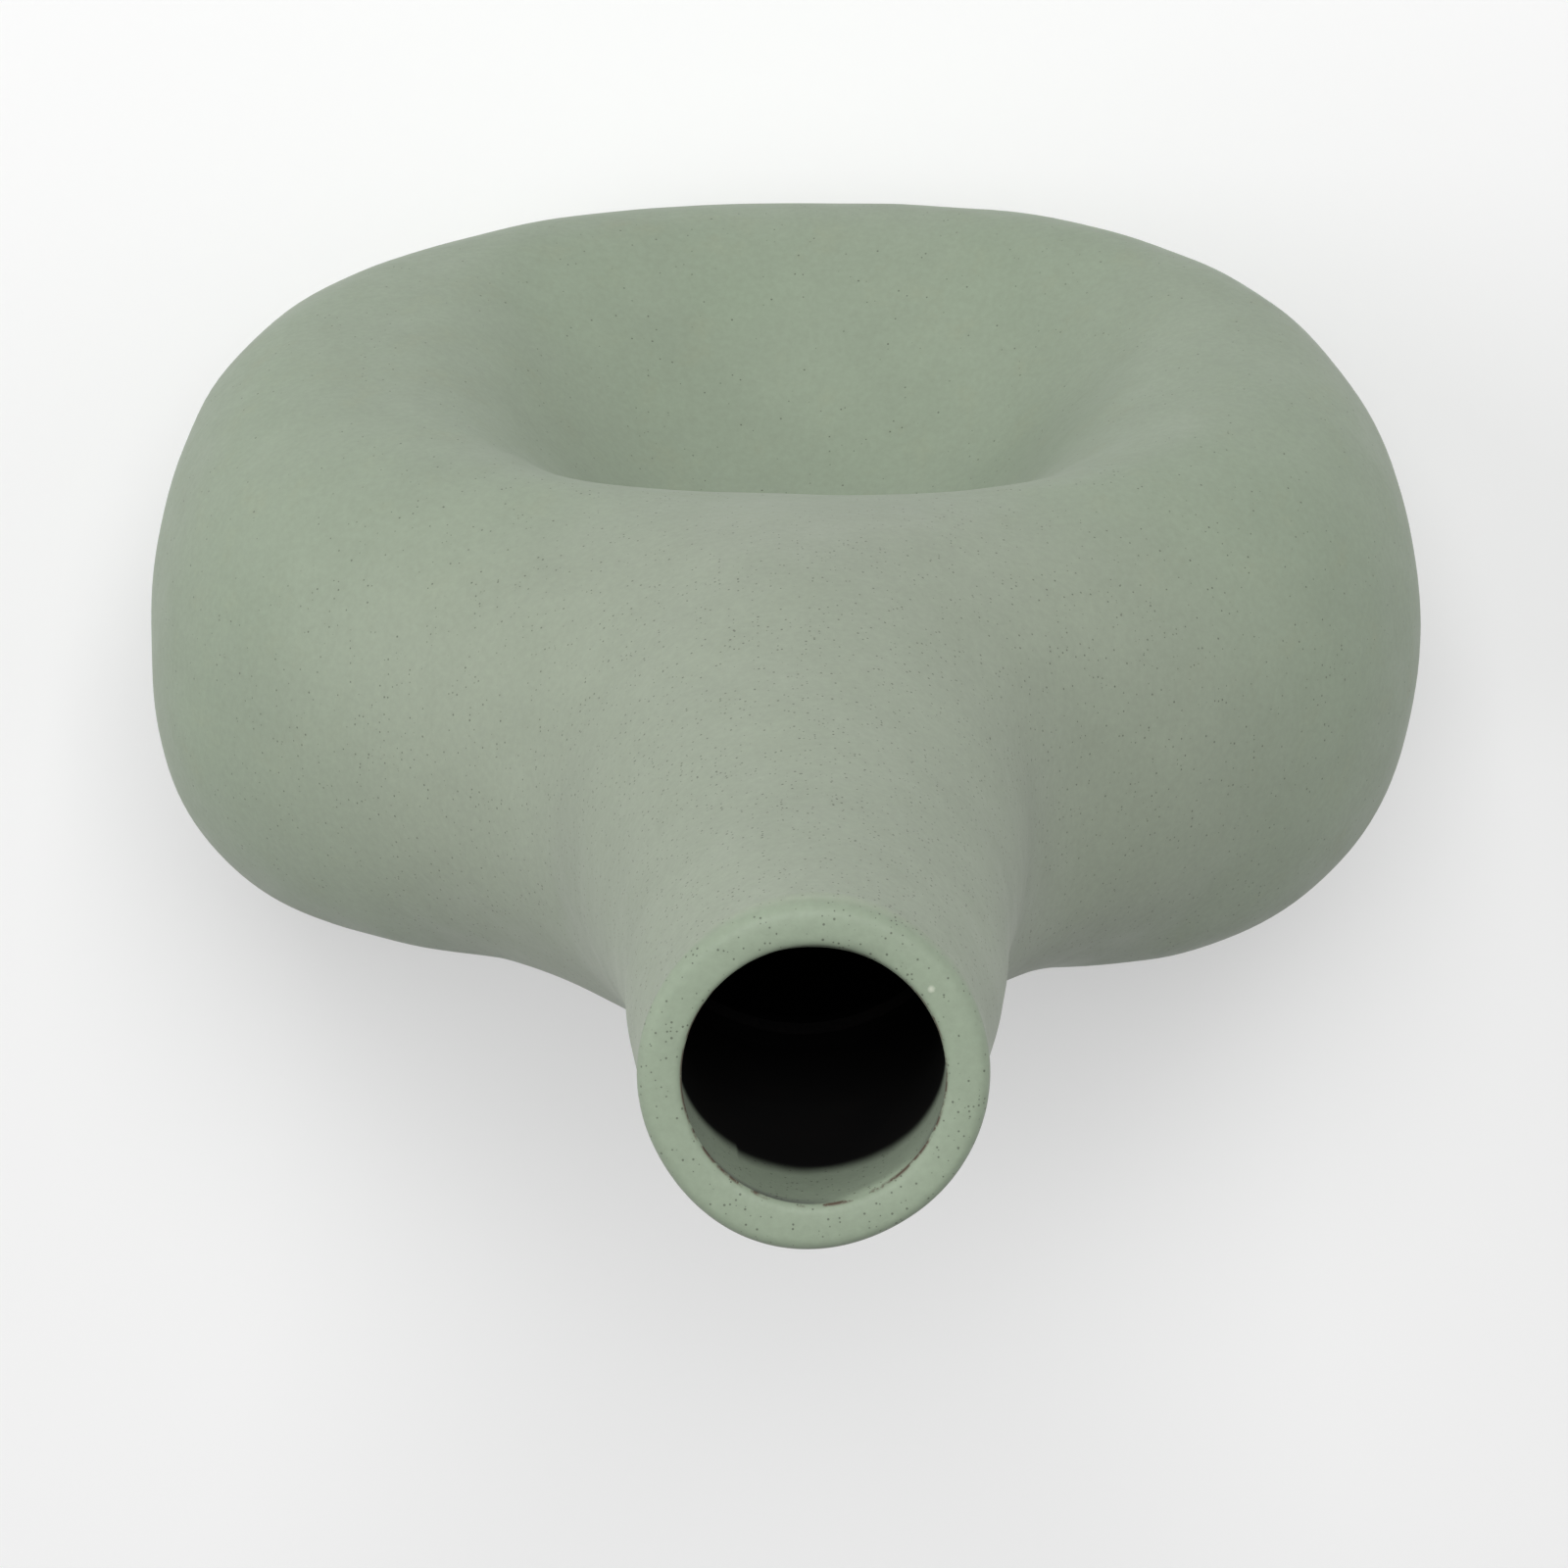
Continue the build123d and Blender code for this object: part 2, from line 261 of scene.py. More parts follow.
class VaseStage(bpy.types.PropertyGroup):
    """Floor, lamps and camera."""

    floor: colour("Floor", "Plain pale floor", "#F8F8F8")
    floor_size: length("Floor size", "Side of the square floor", 6000.0)
    floor_glow: share("Floor glow", "How much of the floor that the camera sees is free of shadow", 0.3)
    lamp_distance: length("Lamp distance", "From the middle of the vase to each lamp", 1800.0)
    key_size: length("Key size", "Side of the lamp above the front", 800.0)
    key_power: lamp_power("Key power", "Strength of the lamp above the front", 23.0)
    key_towards: lamp_direction(
        "Key direction", "From the vase to the lamp above the front", (0.0, -0.5, 0.87)
    )
    side_size: length("Side size", "Side of each of the two lamps at the sides", 1500.0)
    left_power: lamp_power("Left power", "Strength of the lamp on the +X side", 15.0)
    left_towards: lamp_direction(
        "Left direction", "From the vase to the lamp on the +X side", (0.85, -0.2, 0.5)
    )
    right_power: lamp_power("Right power", "Strength of the lamp on the -X side", 6.0)
    right_towards: lamp_direction(
        "Right direction", "From the vase to the lamp on the -X side", (-0.85, -0.2, 0.5)
    )
    fill: share("Fill", "Strength of the even light from all round", 0.2)
    camera_place: FloatVectorProperty(
        name="Camera place",
        description="Where the camera stands",
        default=(15.23 * MM, -292.49 * MM, 1050.16 * MM),
        subtype="TRANSLATION",
    )
    camera_turn: FloatVectorProperty(
        name="Camera turn",
        description="How the camera is turned",
        default=[math.radians(angle) for angle in (-18.71647, -0.89234, 179.90702)],
        subtype="EULER",
    )
    camera_lens: FloatProperty(
        name="Camera lens", description="Focal length in millimetres", default=125.711, unit="CAMERA"
    )
    camera_sensor: FloatProperty(
        name="Camera sensor", description="Width of the sensor in millimetres", default=36.0, unit="CAMERA"
    )


class VaseSettings(bpy.types.PropertyGroup):
    """All that a user may change."""

    shape: PointerProperty(type=VaseShape)
    glaze: PointerProperty(type=VaseGlaze)
    stage: PointerProperty(type=VaseStage)


def settings():
    """The settings of this scene."""
    return bpy.context.scene.pillow_vase


def turns():
    """Directions of the columns, once round from the +X cheek; the first is repeated at the end."""
    return np.linspace(0.0, 2 * math.pi, COLUMNS + 1)


def neck_radius(shape, height):
    """Outside radius of the neck: a parabola, straight up at the mouth and wider below."""
    down = (shape.overall_height - height) / (shape.overall_height - NECK_JOINT)
    return shape.mouth_diameter / 2 + (shape.neck_root_diameter - shape.mouth_diameter) / 2 * down**2


def rise_of(shape, height, inset):
    """How far a height lies from the widest place, as a share of the body's reach on that side."""
    reach = shape.shoulder_rise if height > shape.belly_height else shape.belly_drop
    return abs(height - shape.belly_height) / (reach - inset)


def half_width(shape, height, inset):
    """Half the width of the bare body, without its neck, drawn in by the inset."""
    power = shape.outline_power
    left = max(1 - rise_of(shape, height, inset) ** power, 0.0)
    return (shape.body_width / 2 - inset) * left ** (1 / power)


def crest_half_depth(shape, height):
    """Half the depth over the crest of the cushion, thinning steadily from the lower crest to the upper."""
    crest = shape.crest_width / shape.body_width
    low = shape.belly_height - crest * shape.belly_drop
    high = shape.belly_height + crest * shape.shoulder_rise
    depth = shape.lower_depth + (shape.upper_depth - shape.lower_depth) * (height - low) / (high - low)
    return depth / 2


def pressed_in(shape, across, height):
    """How far the dimple is pressed in at places of the front outline, from 0 at its rim to 1 amid it."""
    power = shape.dimple_outline if height > shape.belly_height else shape.outline_power
    above = (height - shape.belly_height) / shape.dimple_rise
    below = max(shape.belly_height - height, 0.0) / shape.dimple_drop
    half = shape.dimple_width / 2 * (1 + shape.dimple_spread * ramp(below, 0.0, 1.0))
    aside = np.abs(across + shape.dimple_shift) / half
    place = np.minimum((aside**power + max(above, below) ** power) ** (1 / power), 1.0)
    return np.cos(math.pi / 2 * place**shape.dimple_power) ** 2


def half_depth(shape, across, height, inset):
    """Half the depth of the bare body at places of its front outline, drawn in by the inset."""
    side = shape.body_width / 2 - inset
    power = shape.outline_power
    place = ((np.abs(across) / side) ** power + rise_of(shape, height, inset) ** power) ** (1 / power)
    crest = shape.crest_width / 2 / side
    out = np.clip((place - crest) / (1 - crest), 0.0, 1.0)
    top = crest_half_depth(shape, height) - inset
    cushion = top * (1 - out**shape.edge_power) ** (1 / shape.edge_power)
    floor = max(shape.dimple_gap / 2 - inset, shape.least_gap / 2)
    return cushion - (cushion - floor) * pressed_in(shape, across, height)


def body_ring(shape, height, inset):
    """Points of one level slice of the bare body."""
    side = half_width(shape, height, inset)
    depth = half_depth(shape, side * np.cos(turns()), height, inset)
    return np.array([side * np.cos(turns()), depth * np.sign(np.round(np.sin(turns()), 9))])


def neck_ring(shape, height, inset):
    """Points of one level slice of the neck."""
    return (neck_radius(shape, height) - inset) * np.array([np.cos(turns()), np.sin(turns())])


def overhang(shape, height, inset):
    """How far one level slice of the bare body stands out beyond the neck."""
    return body_ring(shape, height, inset) - neck_ring(shape, height, inset)


def flare_height(shape, inset):
    """Where the shoulder leaves its oval for the neck."""
    return shape.belly_height + shape.flare_start * (shape.shoulder_rise - inset)


def level_ring(shape, height, inset):
    """Points of one level slice of the vessel, with a flare that leaves body and neck at their own slopes."""
    start = flare_height(shape, inset)
    if height <= start:
        x, y = body_ring(shape, height, inset)
    else:
        rise = shape.belly_height + shape.shoulder_rise + shape.flare_rise - start
        part = min((height - start) / rise, 1.0)
        kept = (1 - part) ** 2 * (1 + 2 * part)
        lean = (1 - part) ** 2 * part * rise / SLOPE_STEP
        here = overhang(shape, start, inset)
        below = overhang(shape, start - SLOPE_STEP, inset)
        x, y = neck_ring(shape, height, inset) + kept * here + lean * (here - below)
    return np.stack([x, y, np.full_like(x, height)], axis=1)


def body_heights(shape, inset, top):
    """Heights of the rings from the slab up to a level of the flare, closer where the wall turns over."""
    fall = shape.belly_drop - inset
    rise = shape.shoulder_rise - inset
    first = math.asin((SLAB_TOP - shape.belly_height) / fall)
    waves = np.sin(np.linspace(first, math.asin(shape.flare_start), BODY_ROWS))
    body = shape.belly_height + waves * np.where(waves > 0, rise, fall)
    flare = np.linspace(flare_height(shape, inset), top, FLARE_ROWS + 1)
    return np.concatenate([body, flare[1:]])


def round_ring(radius, height):
    """Points of a round ring; radius and height may differ from column to column."""
    ones = np.ones_like(turns())
    return np.stack([radius * np.cos(turns()), radius * np.sin(turns()), height * ones], axis=1)


def mouth_level(shape, radius):
    """Height of the slanted mouth round a circle about the axis."""
    slope = math.tan(shape.mouth_slant)
    return shape.overall_height - shape.mouth_diameter / 2 * slope + radius * np.sin(turns()) * slope


def foot_rings(shape):
    """Rings of the foot: flat out from the middle, softly round the edge and up the side of the slab."""
    outline = level_ring(shape, 0.0, 0.0)
    flat = [outline * part for part in FLAT_PARTS]
    side = [level_ring(shape, part * SLAB_TOP, 0.0) for part in SIDE_PARTS]
    return flat + side


def lip_drop(shape, depth):
    """How far the lip's face lies below the plane of the mouth, at a depth into the wall from outside."""
    outer = max(shape.lip_round - depth, 0.0)
    inner = max(shape.bore_round - (shape.wall - depth), 0.0)
    drop = shape.lip_round - math.sqrt(max(shape.lip_round**2 - outer**2, 0.0))
    drop += shape.bore_round - math.sqrt(max(shape.bore_round**2 - inner**2, 0.0))
    return drop + shape.lip_dome * (2 * depth / shape.wall - 1) ** 2


def neck_rings(shape):
    """Rings of the neck above its joint, over the lip and down the bore to the end of the spigot."""
    outer = shape.mouth_diameter / 2
    inner = outer - shape.wall
    top = mouth_level(shape, outer) - lip_drop(shape, 0.0)
    rings = []
    for part in np.linspace(0.0, 1.0, NECK_ROWS + 1)[1:]:
        height = NECK_JOINT + part * (top - NECK_JOINT)
        rings.append(round_ring(neck_radius(shape, height), height))
    for angle in np.linspace(0.0, math.pi, LIP_ROWS + 1)[1:]:
        depth = shape.wall * (1 - math.cos(angle)) / 2
        rings.append(round_ring(outer - depth, mouth_level(shape, outer - depth) - lip_drop(shape, depth)))
    top = mouth_level(shape, inner) - lip_drop(shape, shape.wall)
    for part in np.linspace(0.0, 1.0, BORE_ROWS + 1)[1:]:
        height = top + part * (SPIGOT_END - top)
        radius = np.minimum(neck_radius(shape, height), shape.neck_root_diameter / 2) - shape.wall
        rings.append(round_ring(radius, height))
    return rings


def smooth_normals(rows):
    """Outward normals of a skin of rings, whose last column repeats its first."""
    ring = rows[:, :-1]
    around = np.roll(ring, -1, axis=1) - np.roll(ring, 1, axis=1)
    step = np.diff(rows, axis=0)
    before = np.concatenate([step[:1], step])
    after = np.concatenate([step, step[-1:]])
    size_before = np.linalg.norm(before, axis=2, keepdims=True)
    size_after = np.linalg.norm(after, axis=2, keepdims=True)
    upward = (size_before**2 * after + size_after**2 * before)[:, :-1]
    normal = np.cross(around, upward)
    normal[0] = (0.0, 0.0, -1.0)
    normal /= np.maximum(np.linalg.norm(normal, axis=2, keepdims=True), TINY)
    return np.concatenate([normal, normal[:, :1]], axis=1)


def ramp(values, low, high):
    """A soft step from 0 to 1 between two values."""
    part = np.clip((values - low) / (high - low), 0.0, 1.0)
    return part * part * (3 - 2 * part)


def hand_marks(shape, rows):
    """How far the potter's hands left the skin out of its even form, ring by ring."""
    flat = rows.reshape(-1, 3)
    broad = np.array([noise.noise(Vector(point) / shape.palm_width) for point in flat])
    small = np.array([noise.noise(Vector(point) / shape.finger_width) for point in flat])
    marks = shape.palm_mark * broad + shape.finger_mark * small
    marks = marks.reshape(rows.shape[:2]) * ramp(rows[:, :, 2], MARKS_FROM, MARKS_FULL)
    marks[:, -1] = marks[:, 0]
    return marks


def hump(places):
    """A soft hump that is 1 at place 0 and fades out at place 1 on either side."""
    return np.cos(math.pi / 2 * np.clip(np.abs(places), 0.0, 1.0)) ** 2


def hand_pushes(rows):
    """How far the single pushes moved the skin, ring by ring; they fade out across the lip."""
    around = np.degrees(turns())
    height = rows[:, :, 2] / MM
    moved = np.zeros_like(height)
    for towards, wide, level, tall, out in HAND_PUSHES:
        aside = (around - towards + 180) % 360 - 180
        moved += out * MM * hump(aside / wide) * hump((height - level) / tall)
    lip = len(rows) - BORE_ROWS - LIP_ROWS
    moved[lip : lip + LIP_ROWS] *= np.linspace(1.0, 0.0, LIP_ROWS)[:, None]
    moved[lip + LIP_ROWS :] = 0.0
    return moved


def outer_skin(shape):
    """The seamless outer skin, from the middle of the foot up over the lip and down the bore.

    Gives its points and normals ring by ring, and how far each point lies down the bore from the lip's
    inner edge, in millimetres along the wall. Outside that is negative.
    """
    rings = foot_rings(shape)
    rings += [level_ring(shape, height, 0.0) for height in body_heights(shape, 0.0, NECK_JOINT)]
    rings += neck_rings(shape)
    rows = np.array(rings)
    pushed = hand_pushes(rows)[:, :, None]
    normals = smooth_normals(rows)
    rows += normals * hand_marks(shape, rows)[:, :, None]
    outward = np.stack([np.cos(turns()), np.sin(turns()), np.zeros(COLUMNS + 1)], axis=1)
    rows += pushed * np.where(rows[:, :, 2:] < NECK_JOINT, normals, outward)
    run = np.linalg.norm(np.diff(rows, axis=0), axis=2)
    run = np.concatenate([np.zeros((1, COLUMNS + 1)), np.cumsum(run, axis=0)]) / MM
    inner_edge = len(rows) - 1 - BORE_ROWS - LIP_ROWS_IN_BORE
    return rows, smooth_normals(rows), run - run[inner_edge]


def slab_row():
    """Which ring of the outer skin lies on top of the slab."""
    return len(foot_rings(settings().shape))


def joint_row():
    """Which ring of the outer skin lies on the joint of the neck."""
    return slab_row() + BODY_ROWS + FLARE_ROWS - 1


def pressed_piece(name, skin, hidden, closed):
    """A closed mesh from rings of the outer skin, followed by hidden rings that lead back to the first.

    It starts as a grid with one row per ring. Doubled edges are merged and open ends are filled, and the
    skin's own normals are kept, so that the joints between pieces don't show.
    """
    rows, normals, down_bore = skin
    back = 1 if closed else 0
    points = np.concatenate([rows, *[ring[None] for ring in hidden], rows[:back]])
    bpy.ops.object.select_all(action="DESELECT")
    bpy.ops.mesh.primitive_grid_add(x_subdivisions=points.shape[1] - 1, y_subdivisions=points.shape[0] - 1)
    piece = bpy.context.object
    piece.name = name
    mesh = piece.data
    mesh.name = name
    mesh.vertices.foreach_set("co", points.ravel())
    unseen = np.zeros((len(hidden), *normals.shape[1:]))
    kept = np.concatenate([normals, unseen, normals[:back]])
    mesh.attributes.new("skin_normal", "FLOAT_VECTOR", "POINT").data.foreach_set("vector", kept.ravel())
    down = np.concatenate([down_bore, unseen[:, :, 0] + DEEP_INSIDE, down_bore[:back]])
    mesh.attributes.new("down_bore", "FLOAT", "POINT").data.foreach_set("value", down.ravel())
    on_skin = np.repeat(np.arange(len(points) - 1) < len(rows) - 1, points.shape[1] - 1)
    mesh.attributes.new("on_skin", "BOOLEAN", "FACE").data.foreach_set("value", on_skin)
    bpy.ops.object.mode_set(mode="EDIT")
    bpy.ops.mesh.select_all(action="SELECT")
    bpy.ops.mesh.remove_doubles(threshold=MERGED)
    bpy.ops.mesh.fill_holes(sides=0)
    bpy.ops.object.mode_set(mode="OBJECT")
    bpy.ops.object.shade_smooth()
    keep_skin_normals(mesh)
    return piece


def keep_skin_normals(mesh):
    """Gives the faces of the skin its own smooth normals, and leaves the hidden faces flat at their edges."""
    bpy.context.view_layer.update()
    on_skin = [bool(item.value) for item in mesh.attributes["on_skin"].data]
    wanted = [item.vector.copy() for item in mesh.attributes["skin_normal"].data]
    loops = [Vector((0.0, 0.0, 0.0))] * len(mesh.loops)
    for face in mesh.polygons:
        if on_skin[face.index]:
            for loop, vertex in zip(face.loop_indices, face.vertices):
                loops[loop] = wanted[vertex]
        elif len(face.vertices) > 4:
            face.use_smooth = False
    mesh.normals_split_custom_set(loops)
    mesh.attributes.remove(mesh.attributes["skin_normal"])
    mesh.attributes.remove(mesh.attributes["on_skin"])


def part_of_skin(skin, rows, columns):
    """A stretch of the outer skin."""
    return [values[rows, columns] for values in skin]


def hang_on_vase(piece, node):
    """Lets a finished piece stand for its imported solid."""
    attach(piece, "root")
    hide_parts(node)


def add(tree, kind, inputs=None, **options):
    """Adds a node, sets its options and inputs, and links those inputs that are given an output."""
    node = tree.nodes.new("ShaderNode" + kind)
    for name, value in options.items():
        setattr(node, name, value)
    for socket, value in (inputs or {}).items():
        if isinstance(value, bpy.types.NodeSocket):
            tree.links.new(value, node.inputs[socket])
        else:
            node.inputs[socket].default_value = value
    return node


def calc(tree, operation, *values):
    """One sum on numbers."""
    return add(tree, "Math", dict(enumerate(values)), operation=operation).outputs[0]


def spread(tree, value, low, high, first=0.0, last=1.0, soft=False):
    """Carries a value from between two limits to between two others, evenly or in a soft step."""
    step = "SMOOTHSTEP" if soft else "LINEAR"
    inputs = {0: value, 1: low, 2: high, 3: first, 4: last}
    return add(tree, "MapRange", inputs, interpolation_type=step).outputs[0]


def pick(tree, part, first, second):
    """One colour where a share is 0 and another where it is 1."""
    mix = add(tree, "Mix", {0: part, MIX_A: first, MIX_B: second}, data_type="RGBA")
    return mix.outputs[MIX_OUT]


def per_mm(millimetres):
    """Scale of a pattern whose features are this large."""
    return 1.0 / (millimetres * MM)


def pattern(tree, place, millimetres, detail, roughness=0.5):
    """A cloudy pattern with features of one size."""
    inputs = {"Vector": place, "Scale": per_mm(millimetres), "Detail": detail, "Roughness": roughness}
    return add(tree, "TexNoise", inputs).outputs["Fac"]


def bump(tree, height, strength, millimetres, **below):
    """Fine relief that is too small to model, over the normal of another one if that is given."""
    inputs = {"Height": height, "Strength": strength, "Distance": millimetres * MM}
    return add(tree, "Bump", {**inputs, **below}).outputs[0]


def new_material(name):
    """An empty node material and its tree."""
    material = bpy.data.materials.new(name)
    material.use_nodes = True
    material.node_tree.nodes.clear()
    return material, material.node_tree


def drifting_green(tree, place, height, down_bore, curd):
    """Colour of the glaze: its green drifts and curdles, and is greyer where the glaze is thin.

    The glaze is thin on the shoulder and the neck, and thick again on the rolled lip.
    """
    glaze = settings().glaze
    moss = spread(tree, pattern(tree, place, DRIFT, 3.0), 0.42, 0.66, soft=True)
    body = pick(tree, moss, (*glaze.sage, 1), (*glaze.moss, 1))
    straw = spread(tree, curd, 0.52, 0.8, last=0.5, soft=True)
    body = pick(tree, straw, body, (*glaze.straw, 1))
    thin = spread(tree, height, THIN_FROM, THIN_FULL, last=0.9, soft=True)
    body = pick(tree, thin, body, (*glaze.ash, 1))
    lip = spread(tree, down_bore, -8.5, -6.5, soft=True)
    return pick(tree, lip, body, (*glaze.moss, 1))


def with_tone(tree, place, body, grain):
    """The colour made cloudy and grained, lighter and darker from place to place."""
    cloud = spread(tree, pattern(tree, place, CLOUD, 4.0, 0.7), 0.25, 0.75, 0.95, 1.05)
    fine = spread(tree, grain, 0.25, 0.75, 0.95, 1.05)
    tone = calc(tree, "MULTIPLY", cloud, fine)
    return add(tree, "VectorMath", {0: body, "Scale": tone}, operation="SCALE").outputs[0]


def with_specks(tree, place, height, body):
    """The colour with iron specks, more of them towards the mouth."""
    cells = add(tree, "TexVoronoi", {"Vector": place, "Scale": per_mm(SPECK_CELL), "Randomness": 1.0}).outputs
    chance = add(tree, "SeparateColor", {0: cells["Color"]}).outputs
    many = spread(tree, height, SPECKS_FROM, SPECKS_FULL, 0.05, 0.4)
    chosen = calc(tree, "LESS_THAN", chance[0], many)
    radius = spread(tree, chance[1], 0.0, 1.0, 0.12, 0.26)
    inside = calc(tree, "SUBTRACT", radius, cells["Distance"])
    dark = spread(tree, inside, -0.04, 0.04, last=0.8)
    return pick(tree, calc(tree, "MULTIPLY", dark, chosen), body, (*settings().glaze.speck, 1))


def with_wear(tree, place, across, down_bore, body, chips):
    """The colour with the bore's edge worn to the clay in a thin broken line, and a pale dot painted on a
    small chip in the lip, as the light on its dent.

    Most of the line lies at the sides.
    """
    glaze = settings().glaze
    edge = calc(tree, "ABSOLUTE", calc(tree, "SUBTRACT", down_bore, 0.3))
    near = spread(tree, edge, 0.1, 0.5, 1.0, 0.0)
    aside = spread(tree, calc(tree, "ABSOLUTE", across), 6 * MM, 18 * MM, -0.08, 0.08)
    broken = spread(tree, calc(tree, "ADD", chips, aside), 0.46, 0.56)
    body = pick(tree, calc(tree, "MULTIPLY", near, broken), body, (*glaze.worn, 1))
    # Painted highlight: a pale dot on the chip, standing for the light on its dent
    away = add(tree, "VectorMath", {0: place, 1: CHIP}, operation="DISTANCE").outputs["Value"]
    away = calc(tree, "MULTIPLY_ADD", chips, 0.8 * MM, away)
    chip_highlight_share = spread(tree, away, 0.8 * MM, 1.2 * MM, 0.85, 0.0)
    return pick(tree, chip_highlight_share, body, (*glaze.chip_highlight, 1))


def with_wiped_foot(tree, height, body, chips, ragged):
    """The colour with the foot wiped bare along a ragged edge."""
    glaze = settings().glaze
    wiped = calc(tree, "MULTIPLY_ADD", ragged, 2.5 * MM, height)
    bare = spread(tree, wiped, 2.1 * MM, 2.4 * MM, 1.0, 0.0)
    clay = pick(tree, chips, (*glaze.clay, 1), (*glaze.clay_dark, 1))
    return pick(tree, bare, body, clay)


def bore_shade_share(tree, across, backwards, down_bore, ragged):
    """Where the bore is painted near black as shade, its edge lowest at the rear and a little lower past a
    step on the +X side.
    """
    wave = spread(tree, ragged, 0.3, 0.7, -0.4, 0.4)
    shade_step = spread(tree, across, 10.8 * MM, 11.2 * MM, 0.0, -1.6)
    forward = spread(tree, backwards, -19 * MM, 19 * MM, 15.0, 1.0)
    reach = calc(tree, "ADD", calc(tree, "ADD", wave, shade_step), forward)
    return spread(tree, calc(tree, "ADD", down_bore, reach), 12.5, 18.0, soft=True)


def glazed_stoneware():
    """Satin-matt sage glaze on speckled stoneware, fired in a kiln.

    The glaze pools and thins, so its green drifts over hand-widths and curdles over finger-widths. Iron in
    the clay comes up as fine dark specks, most of them on the thinly glazed neck. The bore's edge is worn to
    the clay and the foot is wiped bare. Deep in the bore the inside is painted near black as shade.
    """
    found = bpy.data.materials.get("sage_glaze_on_stoneware")
    if found:
        return found
    glaze = settings().glaze
    material, tree = new_material("sage_glaze_on_stoneware")
    place = add(tree, "TexCoord").outputs["Object"]
    across, backwards, height = add(tree, "SeparateXYZ", {0: place}).outputs
    down_bore = add(tree, "Attribute", attribute_name="down_bore").outputs["Fac"]
    curd = pattern(tree, place, CURD, 5.0, 0.6)
    grain = pattern(tree, place, GRAIN, 2.0, 0.6)
    chips = pattern(tree, place, WEAR, 5.0, 0.7)
    ragged = pattern(tree, place, POUR, 3.0)

    body = drifting_green(tree, place, height, down_bore, curd)
    body = with_tone(tree, place, body, grain)
    body = with_specks(tree, place, height, body)
    body = with_wear(tree, place, across, down_bore, body, chips)
    body = with_wiped_foot(tree, height, body, chips, ragged)

    # Satin surface with a faint orange peel, and grit that stands up through it
    swell = bump(tree, pattern(tree, place, PEEL, 3.0), 0.25, 0.25)
    outside = add(
        tree,
        "BsdfPrincipled",
        {
            "Base Color": body,
            "Roughness": spread(tree, curd, 0.3, 0.7, 0.52, 0.66),
            "Normal": bump(tree, grain, 0.3, 0.12, Normal=swell),
            "IOR": 1.48,
            "Sheen Weight": 0.05,
            "Sheen Roughness": 0.5,
        },
    )
    # Painted shade: a dull near-black surface for the bore deep down, standing in for its shade
    inside = add(
        tree,
        "BsdfPrincipled",
        {
            "Base Color": pick(tree, ragged, (*glaze.bore_shade, 1), (*glaze.bore_shade_warm, 1)),
            "Roughness": 0.85,
            "IOR": 1.48,
            "Specular IOR Level": 0.1,
        },
    )
    # The painted shade takes over from the glaze down the bore
    shaded_share = bore_shade_share(tree, across, backwards, down_bore, ragged)
    surface = add(tree, "MixShader", {0: shaded_share, 1: outside.outputs[0], 2: inside.outputs[0]})
    add(tree, "OutputMaterial", {"Surface": surface.outputs[0]})
    return material


def raw_clay():
    """Fired stoneware coils inside the vase, painted nearly black as shade.

    Dry and nearly black, with browner grit and the soft dents of fingertips.
    """
    glaze = settings().glaze
    material, tree = new_material("fired_raw_clay")
    place = add(tree, "TexCoord").outputs["Object"]
    grit = pattern(tree, place, CLAY_GRIT, 3.0)
    dark = calc(tree, "MULTIPLY", pattern(tree, place, FLASH, 4.0), grit)
    dark = spread(tree, dark, 0.15, 0.4)
    soft = bump(tree, pattern(tree, place, DENT, 2.0), 0.5, 1.2)
    surface = add(
        tree,
        "BsdfPrincipled",
        {
            # Painted shade: near-black clay, as shade inside the vase
            "Base Color": pick(tree, dark, (*glaze.bore_shade_warm, 1), (*glaze.bore_shade, 1)),
            "Roughness": spread(tree, grit, 0.0, 1.0, 0.78, 0.95),
            "Normal": bump(tree, grit, 0.4, 0.2, Normal=soft),
            "IOR": 1.5,
            "Specular IOR Level": 0.1,
        },
    )
    add(tree, "OutputMaterial", {"Surface": surface.outputs[0]})
    return material


class VASE_OT_base_slab(bpy.types.Operator):
    """Model the flat oval slab that the walls stand on"""

    bl_idname = "vase.base_slab"
    bl_label = "Base slab"

    def execute(self, context):
        shape = settings().shape
        skin = part_of_skin(outer_skin(shape), slice(0, slab_row() + 1), slice(None))
        middle = np.array([0.0, 0.0, SLAB_TOP])
        top = [middle + (skin[0][-1] - middle) * part for part in TOP_PARTS]
        piece = pressed_piece("base_slab_glazed", skin, top, closed=False)
        piece.data.materials.append(glazed_stoneware())
        hang_on_vase(piece, "base_slab")
        return {"FINISHED"}


class VASE_OT_half_shells(bpy.types.Operator):
    """Model the two pressed half shells of the body, with the collar that takes the neck's spigot"""

    bl_idname = "vase.half_shells"
    bl_label = "Half shells"

    def execute(self, context):
        shape = settings().shape
        whole = outer_skin(shape)
        seat = shape.neck_root_diameter / 2 - shape.wall + shape.spigot_wall
        seat_level = SPIGOT_END - shape.slip_gap
        heights = body_heights(shape, shape.wall, seat_level)[::-1]
        inside = [round_ring(seat, NECK_JOINT), round_ring(seat, seat_level)]
        inside += [level_ring(shape, height, shape.wall) for height in heights]
        halves = {"rear_shell": slice(0, COLUMNS // 2 + 1), "front_shell": slice(COLUMNS // 2, COLUMNS + 1)}
        for node, columns in halves.items():
            skin = part_of_skin(whole, slice(slab_row(), joint_row() + 1), columns)
            piece = pressed_piece(node + "_glazed", skin, [ring[columns] for ring in inside], closed=True)
            piece.data.materials.append(glazed_stoneware())
            hang_on_vase(piece, node)
        return {"FINISHED"}


